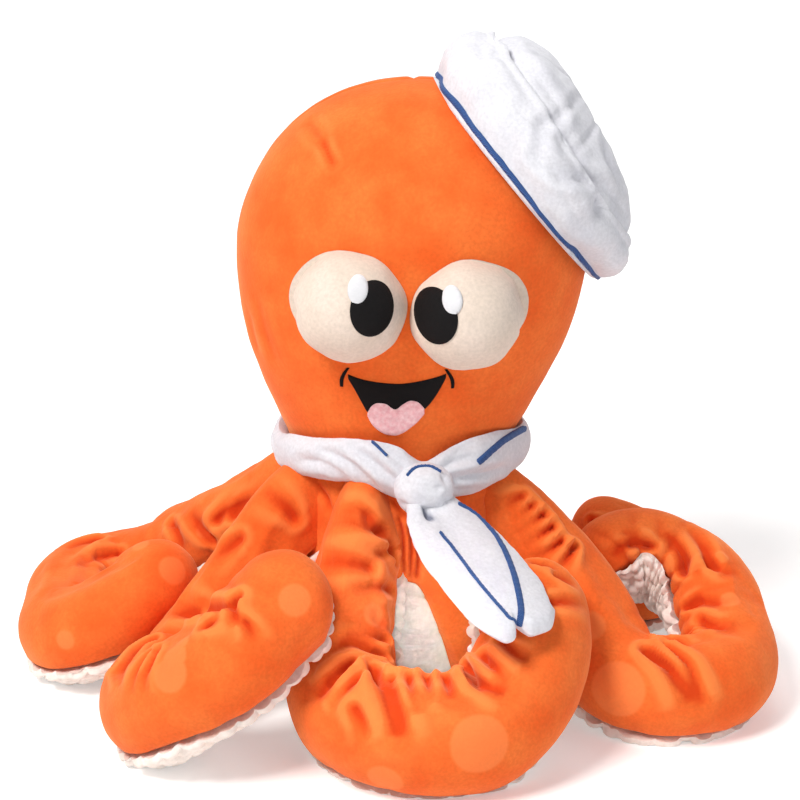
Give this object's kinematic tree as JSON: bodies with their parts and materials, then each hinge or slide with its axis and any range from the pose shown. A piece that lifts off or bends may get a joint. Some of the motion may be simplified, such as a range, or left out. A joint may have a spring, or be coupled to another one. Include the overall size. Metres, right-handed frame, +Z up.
{
  "type": "stuffed plush octopus",
  "caption": "Stuffed plush octopus with a tall rounded head, puffy eyes, an embroidered grin, curled tentacles, a sewn-on tilted cap and a knotted neckerchief.",
  "frame": {"origin": "middle of the flat base panel, on the surface that the toy sits on", "axes": "+Z up, -Y is the way the face looks, +X is the toy's own left side, seen on the right from the front"},
  "size_m": [0.3218, 0.2961, 0.2723],
  "materials": {
    "orange_plush": "short-pile plush, matte",
    "nubby_fleece": "nubby fleece, matte",
    "fibre_fill": "loose polyester fibre fill",
    "cream_plush": "short-pile plush, matte",
    "white_thread": "satin-stitched embroidery thread",
    "black_thread": "satin-stitched embroidery thread",
    "pink_terry": "looped embroidery thread",
    "white_plush": "short-pile plush, matte",
    "blue_thread": "satin-stitched embroidery thread"
  },
  "bodies": {
    "torso": {"torso_skin": "orange_plush", "belly_panel": "nubby_fleece", "torso_stuffing": "fibre_fill", "base_panel": "nubby_fleece", "head_back_skin": "orange_plush", "head_front_skin": "orange_plush", "head_stuffing": "fibre_fill", "eye_left_cover": "cream_plush", "eye_left_stuffing": "fibre_fill", "glint_left": "white_thread", "pupil_left": "black_thread", "eye_right_cover": "cream_plush", "eye_right_stuffing": "fibre_fill", "glint_right": "white_thread", "pupil_right": "black_thread", "mouth": "black_thread", "tongue": "pink_terry", "smile_crease_left": "black_thread", "smile_crease_right": "black_thread", "cap_band": "white_plush", "cap_crown": "white_plush", "cap_stuffing": "fibre_fill", "cap_stripe": "blue_thread", "scarf_band": "white_plush", "scarf_knot": "white_plush", "scarf_stripe_left": "blue_thread", "scarf_stripe_right": "blue_thread", "scarf_stripe_knot": "blue_thread"},
    "scarf_tail": {"scarf_tail": "white_plush", "scarf_stripe_tail_left": "blue_thread", "scarf_stripe_tail_right": "blue_thread"},
    "tentacle_left": {"tentacle_left_top": "orange_plush", "tentacle_left_underside": "nubby_fleece", "tentacle_left_stuffing": "fibre_fill"},
    "tentacle_front_left": {"tentacle_front_left_top": "orange_plush", "tentacle_front_left_underside": "nubby_fleece", "tentacle_front_left_stuffing": "fibre_fill"},
    "tentacle_front": {"tentacle_front_top": "orange_plush", "tentacle_front_underside": "nubby_fleece", "tentacle_front_stuffing": "fibre_fill"},
    "tentacle_front_right": {"tentacle_front_right_top": "orange_plush", "tentacle_front_right_underside": "nubby_fleece", "tentacle_front_right_stuffing": "fibre_fill"},
    "tentacle_right": {"tentacle_right_top": "orange_plush", "tentacle_right_underside": "nubby_fleece", "tentacle_right_stuffing": "fibre_fill"},
    "tentacle_back_right": {"tentacle_back_right_top": "orange_plush", "tentacle_back_right_underside": "nubby_fleece", "tentacle_back_right_stuffing": "fibre_fill"},
    "tentacle_back": {"tentacle_back_top": "orange_plush", "tentacle_back_underside": "nubby_fleece", "tentacle_back_stuffing": "fibre_fill"},
    "tentacle_back_left": {"tentacle_back_left_top": "orange_plush", "tentacle_back_left_underside": "nubby_fleece", "tentacle_back_left_stuffing": "fibre_fill"}
  },
  "joints": [
    {"name": "tentacle_front_lift", "type": "hinge", "parent": "torso", "child": "tentacle_front", "pos_m": [-0.01585, -0.04742, 0.091], "axis": [-0.9484, 0.317, 0], "range_deg": [0, 18]},
    {"name": "tentacle_front_left_lift", "type": "hinge", "parent": "torso", "child": "tentacle_front_left", "pos_m": [-0.04372, -0.02425, 0.09661], "axis": [-0.4851, 0.8745, 0], "range_deg": [0, 18]},
    {"name": "scarf_tail_lift", "type": "hinge", "parent": "torso", "child": "scarf_tail", "pos_m": [0.00972, -0.05515, 0.10056], "axis": [-0.8387, -0.5446, 0], "range_deg": [0, 18]},
    {"name": "tentacle_front_right_lift", "type": "hinge", "parent": "torso", "child": "tentacle_front_right", "pos_m": [0.04531, -0.02113, 0.09558], "axis": [-0.4227, -0.9063, 0], "range_deg": [0, 20]},
    {"name": "tentacle_right_lift", "type": "hinge", "parent": "torso", "child": "tentacle_right", "pos_m": [0.04787, 0.01442, 0.07743], "axis": [0.2885, -0.9575, 0], "range_deg": [0, 20]},
    {"name": "tentacle_back_right_lift", "type": "hinge", "parent": "torso", "child": "tentacle_back_right", "pos_m": [0.02442, 0.04363, 0.08447], "axis": [0.8726, -0.4884, 0], "range_deg": [0, 20]},
    {"name": "tentacle_back_lift", "type": "hinge", "parent": "torso", "child": "tentacle_back", "pos_m": [-0.00058, 0.05, 0.08447], "axis": [0.9999, 0.0115, 0], "range_deg": [0, 20]},
    {"name": "tentacle_back_left_lift", "type": "hinge", "parent": "torso", "child": "tentacle_back_left", "pos_m": [-0.02846, 0.04111, 0.08406], "axis": [0.8222, 0.5692, 0], "range_deg": [0, 20]},
    {"name": "tentacle_left_lift", "type": "hinge", "parent": "torso", "child": "tentacle_left", "pos_m": [-0.04655, 0.01826, 0.09206], "axis": [0.3653, 0.9309, 0], "range_deg": [0, 20]}
  ],
  "couplings": [
    {"joint": "tentacle_front_left_lift", "follows": "tentacle_front_lift", "ratio": 1},
    {"joint": "scarf_tail_lift", "follows": "tentacle_front_lift", "ratio": 1},
    {"joint": "tentacle_right_lift", "follows": "tentacle_front_right_lift", "ratio": 1},
    {"joint": "tentacle_back_lift", "follows": "tentacle_back_right_lift", "ratio": 1}
  ]
}
